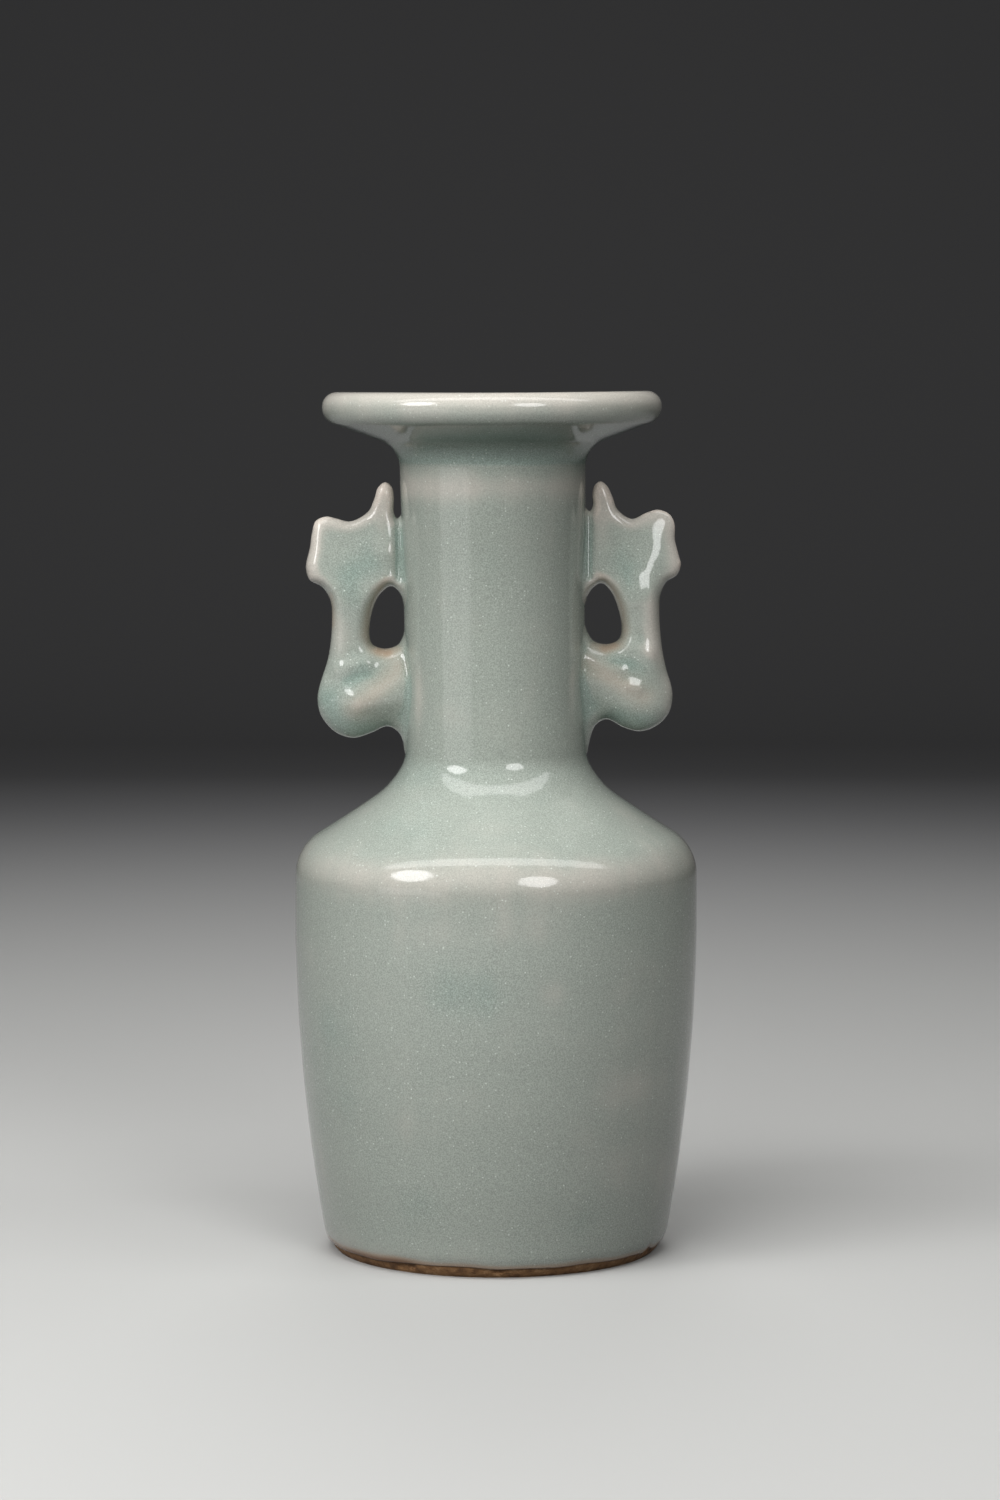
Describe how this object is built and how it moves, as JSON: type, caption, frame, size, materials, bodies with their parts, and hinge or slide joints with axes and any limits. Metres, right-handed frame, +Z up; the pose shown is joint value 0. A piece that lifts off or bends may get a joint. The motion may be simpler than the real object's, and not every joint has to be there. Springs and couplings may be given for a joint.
{
  "type": "mallet vase",
  "caption": "Glazed stoneware mallet vase with a wide dish mouth, straight neck, sloping shoulder, bowed barrel body and a pair of phoenix-shaped loop handles on the neck.",
  "frame": {"origin": "centre of the foot on the surface the vase stands on", "axes": "+Z up along the wheel axis, X across the two handles, -Y towards the front"},
  "size_m": [0.08, 0.08, 0.1701],
  "materials": {
    "celadon_glaze": "pale grey-green glossy glaze with fine bubbles, whiter on thin edges and greener where it pools",
    "bare_clay": "unglazed stoneware burnt orange-brown in the firing",
    "slip": "fired slip inside the luted seams"
  },
  "bodies": {
    "root": {"foot_ring": "bare_clay", "base_disc": "celadon_glaze", "barrel": "celadon_glaze", "shoulder": "celadon_glaze", "neck": "celadon_glaze", "dish_mouth": "celadon_glaze", "base_slip": "slip", "shoulder_slip": "slip", "neck_slip": "slip", "mouth_slip": "slip", "left_phoenix_front": "celadon_glaze", "left_phoenix_back": "celadon_glaze", "left_head_pad": "celadon_glaze", "left_breast_pad": "celadon_glaze", "right_phoenix_front": "celadon_glaze", "right_phoenix_back": "celadon_glaze", "right_head_pad": "celadon_glaze", "right_breast_pad": "celadon_glaze"}
  },
  "joints": []
}
